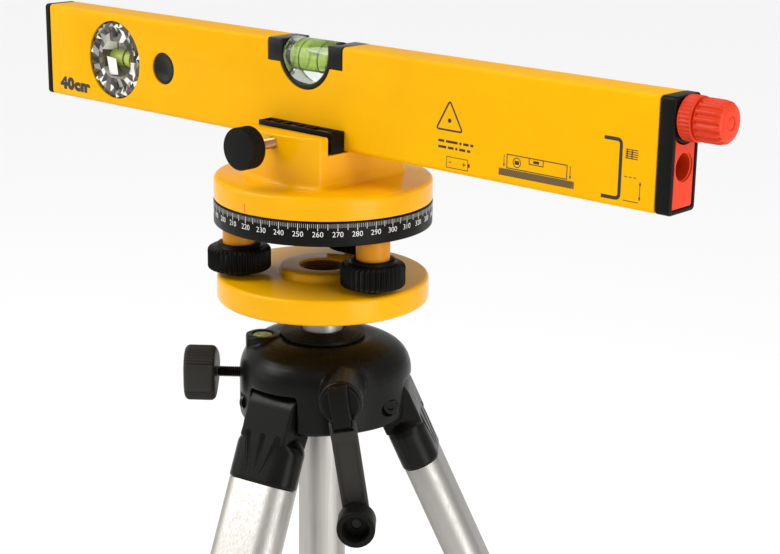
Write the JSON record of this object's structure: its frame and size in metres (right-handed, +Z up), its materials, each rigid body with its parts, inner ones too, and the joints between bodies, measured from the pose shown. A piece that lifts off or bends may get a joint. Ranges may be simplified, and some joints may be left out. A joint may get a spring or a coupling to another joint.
{
  "type": "laser level on tripod",
  "caption": "Box spirit level with a laser beam end, clamped in a rotating levelling head with a graduated ring, on a short folding tripod with a crank column.",
  "frame": {"origin": "middle of the footprint's bounding box, on the floor", "axes": "+Z up, +X along the level's length towards its laser end, -Y towards the clamp knob"},
  "size_m": [0.4198, 0.314, 0.488],
  "materials": {
    "yellow_lacquer": "powder-coated yellow over extruded aluminium",
    "yellow_plastic": "glossy moulded",
    "black_plastic": "satin moulded",
    "head_plastic": "fine-grained satin",
    "ring_black": "glossy with white scale",
    "red_plastic": "satin moulded",
    "clear_acrylic": "clear polished",
    "vial_green": "clear green liquid",
    "steel": "brushed",
    "chrome": "bright",
    "satin_aluminium": "satin anodised",
    "brass": "turned",
    "rubber": "matt",
    "battery_wrap": "printed wrap"
  },
  "bodies": {
    "tripod_head": {"crown": "head_plastic", "column_sleeve": "satin_aluminium", "crown_collar": "black_plastic", "bubble_vial": "vial_green", "pivot_pin_1": "steel", "pivot_pin_2": "steel", "pivot_pin_3": "steel"},
    "lock_screw": {"lock_screw": "steel"},
    "lock_knob": {"lock_knob": "black_plastic"},
    "column": {"centre_column": "steel", "base_plate": "yellow_plastic", "graduated_ring": "ring_black", "levelling_stud_1": "chrome", "levelling_stud_2": "chrome", "levelling_stud_3": "chrome", "post_1": "yellow_plastic", "post_2": "yellow_plastic", "post_3": "yellow_plastic"},
    "levelling_nut_1": {"levelling_nut_1": "black_plastic"},
    "levelling_nut_2": {"levelling_nut_2": "black_plastic"},
    "levelling_nut_3": {"levelling_nut_3": "black_plastic"},
    "turntable": {"turntable": "yellow_plastic"},
    "clamp_pad": {"clamp_pad": "black_plastic"},
    "clamp_screw": {"clamp_screw": "brass", "clamp_knob": "black_plastic"},
    "level": {"level_profile": "yellow_lacquer", "left_end_cap": "black_plastic", "right_end_cap": "black_plastic", "laser_end_plate": "red_plastic", "vial_holder": "black_plastic", "horizontal_vial_block": "clear_acrylic", "horizontal_ampoule": "vial_green", "round_vial_block": "clear_acrylic", "round_ampoule": "vial_green", "laser_module": "brass", "battery": "battery_wrap"},
    "battery_cap": {"battery_cap": "red_plastic"},
    "laser_button": {"laser_button": "black_plastic"},
    "crank": {"crank_shaft": "steel", "crank_hub": "black_plastic"},
    "crank_arm": {"crank_arm": "black_plastic"},
    "crank_grip": {"crank_grip": "black_plastic"},
    "leg_1": {"knuckle_1": "head_plastic", "leg_upper_1": "satin_aluminium", "clamp_housing_1": "head_plastic"},
    "lever_1": {"lock_lever_1": "head_plastic"},
    "leg_lower_1": {"leg_lower_1": "satin_aluminium", "foot_1": "rubber"},
    "leg_2": {"knuckle_2": "head_plastic", "leg_upper_2": "satin_aluminium", "clamp_housing_2": "head_plastic"},
    "lever_2": {"lock_lever_2": "head_plastic"},
    "leg_lower_2": {"leg_lower_2": "satin_aluminium", "foot_2": "rubber"},
    "leg_3": {"knuckle_3": "head_plastic", "leg_upper_3": "satin_aluminium", "clamp_housing_3": "head_plastic"},
    "lever_3": {"lock_lever_3": "head_plastic"},
    "leg_lower_3": {"leg_lower_3": "satin_aluminium", "foot_3": "rubber"}
  },
  "joints": [
    {"name": "column_lift", "type": "slide", "parent": "tripod_head", "child": "column", "axis": [0, 0, 1], "range_m": [0, 0.2]},
    {"name": "turntable_spin", "type": "hinge", "parent": "column", "child": "turntable", "pos_m": [-0.0116, 0.0296, 0.421], "axis": [0, 0, 1], "continuous": true},
    {"name": "level_lift", "type": "slide", "parent": "turntable", "child": "level", "axis": [0, 0, 1], "range_m": [0, 0.06]},
    {"name": "battery_cap_twist", "type": "hinge", "parent": "level", "child": "battery_cap", "pos_m": [0.1951, 0.0277, 0.4785], "axis": [1, 0, 0], "range_deg": [0, 90]},
    {"name": "laser_button_press", "type": "slide", "parent": "level", "child": "laser_button", "axis": [0, 1, 0], "range_m": [0, 0.0015], "stiffness_N_per_m": 300},
    {"name": "clamp_slide", "type": "slide", "parent": "turntable", "child": "clamp_pad", "axis": [0, -1, 0], "range_m": [0, 0.0021]},
    {"name": "clamp_spin", "type": "hinge", "parent": "clamp_pad", "child": "clamp_screw", "pos_m": [-0.0116, -0.0204, 0.4432], "axis": [0, -1, 0], "range_deg": [0, 900]},
    {"name": "lock_travel", "type": "slide", "parent": "tripod_head", "child": "lock_screw", "axis": [-0.766, -0.6428, 0], "range_m": [0, 0.0016]},
    {"name": "lock_spin", "type": "hinge", "parent": "lock_screw", "child": "lock_knob", "pos_m": [-0.05756, -0.00897, 0.322], "axis": [-0.766, -0.6428, 0], "range_deg": [0, 540]},
    {"name": "crank_spin", "type": "hinge", "parent": "tripod_head", "child": "crank", "pos_m": [0.02361, 0.00693, 0.3276], "axis": [0.6428, -0.766, 0], "range_deg": [0, 3825]},
    {"name": "crank_fold", "type": "hinge", "parent": "crank", "child": "crank_arm", "pos_m": [0.03929, -0.00968, 0.31921], "axis": [-0.7566, -0.6349, -0.1564], "range_deg": [0, 90]},
    {"name": "grip_spin", "type": "hinge", "parent": "crank_arm", "child": "crank_grip", "pos_m": [0.04949, -0.01052, 0.27328], "axis": [0.6428, -0.766, 0], "continuous": true},
    {"name": "nut_1_spin", "type": "hinge", "parent": "column", "child": "levelling_nut_1", "pos_m": [-0.03824, -0.00104, 0.383], "axis": [0, 0, 1], "range_deg": [-360, 360]},
    {"name": "nut_2_spin", "type": "hinge", "parent": "column", "child": "levelling_nut_2", "pos_m": [0.02825, 0.02185, 0.383], "axis": [0, 0, 1], "range_deg": [-360, 360]},
    {"name": "nut_3_spin", "type": "hinge", "parent": "column", "child": "levelling_nut_3", "pos_m": [-0.02482, 0.06799, 0.383], "axis": [0, 0, 1], "range_deg": [-360, 360]},
    {"name": "leg_1_fold", "type": "hinge", "parent": "tripod_head", "child": "leg_1", "pos_m": [-0.00613, -0.00497, 0.3135], "axis": [0.9877, 0.1564, 0], "range_deg": [0, 22]},
    {"name": "leg_1_extend", "type": "slide", "parent": "leg_1", "child": "leg_lower_1", "axis": [0.0646, -0.408, -0.9107], "range_m": [0, 0.19]},
    {"name": "lever_1_flip", "type": "hinge", "parent": "leg_1", "child": "lever_1", "pos_m": [0.016, -0.14465, 0.03999], "axis": [0.9877, 0.1564, 0], "range_deg": [0, 100]},
    {"name": "leg_2_fold", "type": "hinge", "parent": "tripod_head", "child": "leg_2", "pos_m": [0.0156, 0.05163, 0.3135], "axis": [-0.6293, 0.7771, 0], "range_deg": [0, 22]},
    {"name": "leg_2_extend", "type": "slide", "parent": "leg_2", "child": "leg_lower_2", "axis": [0.321, 0.26, -0.9107], "range_m": [0, 0.19]},
    {"name": "lever_2_flip", "type": "hinge", "parent": "leg_2", "child": "lever_2", "pos_m": [0.1255, 0.14062, 0.03999], "axis": [-0.6293, 0.7771, 0], "range_deg": [0, 100]},
    {"name": "leg_3_fold", "type": "hinge", "parent": "tripod_head", "child": "leg_3", "pos_m": [-0.04428, 0.04214, 0.3135], "axis": [-0.3584, -0.9336, 0], "range_deg": [0, 22]},
    {"name": "leg_3_extend", "type": "slide", "parent": "leg_3", "child": "leg_lower_3", "axis": [-0.3857, 0.148, -0.9107], "range_m": [0, 0.19]},
    {"name": "lever_3_flip", "type": "hinge", "parent": "leg_3", "child": "lever_3", "pos_m": [-0.1763, 0.09282, 0.03999], "axis": [-0.3584, -0.9336, 0], "range_deg": [0, 100]}
  ],
  "couplings": [
    {"joint": "clamp_slide", "follows": "clamp_spin", "m_per_rad": 0.00012732},
    {"joint": "lock_travel", "follows": "lock_spin", "m_per_rad": 0.00015915},
    {"joint": "crank_spin", "follows": "column_lift", "rad_per_m": 333.33}
  ]
}
